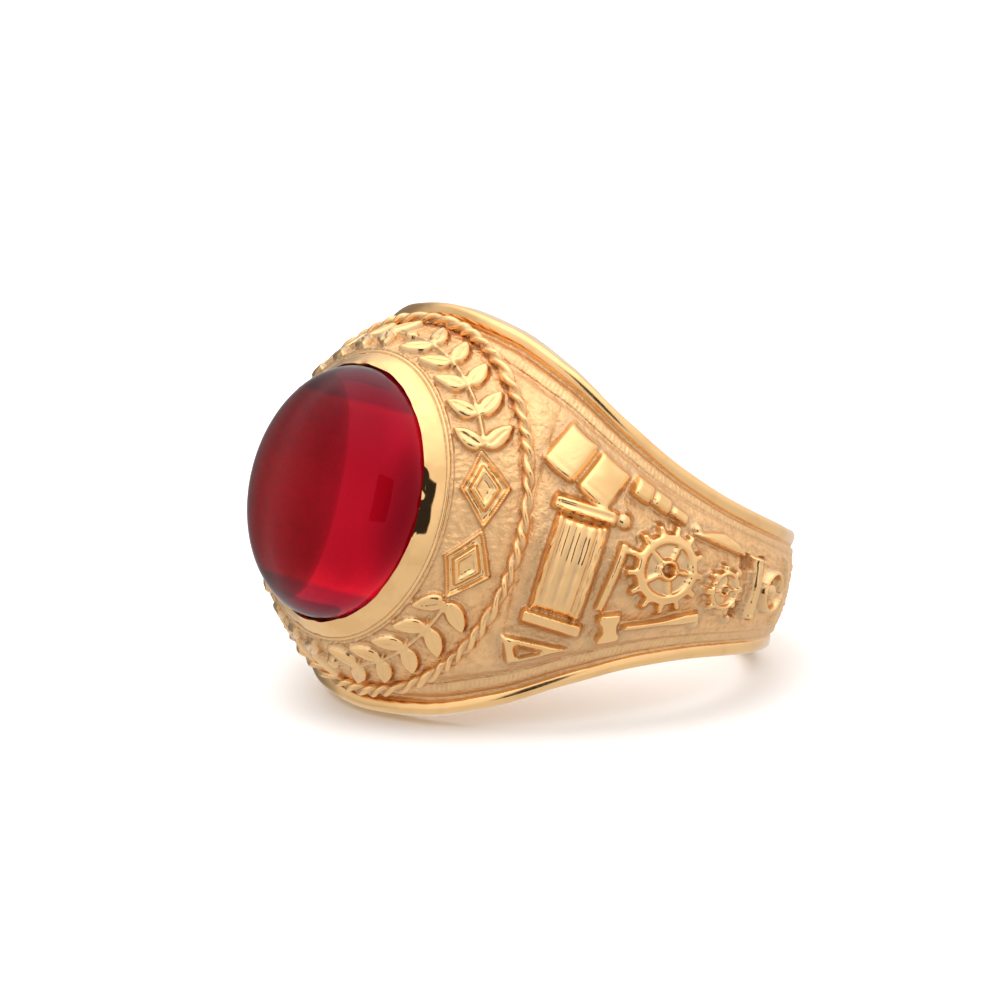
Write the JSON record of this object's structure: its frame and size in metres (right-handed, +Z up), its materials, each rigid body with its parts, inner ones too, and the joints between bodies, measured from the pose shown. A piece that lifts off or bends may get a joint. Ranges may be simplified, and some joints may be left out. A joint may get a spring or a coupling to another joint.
{
  "type": "class ring",
  "caption": "Heavy gold class ring with an oval red cabochon in a bezel, a rope border round a sloping ornament band, and raised shoulders.",
  "frame": {"origin": "on the surface that the ring lies on, under the middle of its bounding box", "axes": "+Z up from the surface; -Y towards the stone's face, which looks up a little; +X across the finger hole; the finger passes along the bore, which leans back from +Z by the ring's rest tilt"},
  "size_m": [0.0276, 0.0312, 0.0203],
  "materials": {
    "gold": "polished rails, bezel and relief tops over matt, darkened recesses",
    "red_stone": "polished, deep transparent red"
  },
  "bodies": {
    "root": {"ring_body": "gold", "stone": "red_stone"}
  },
  "joints": []
}
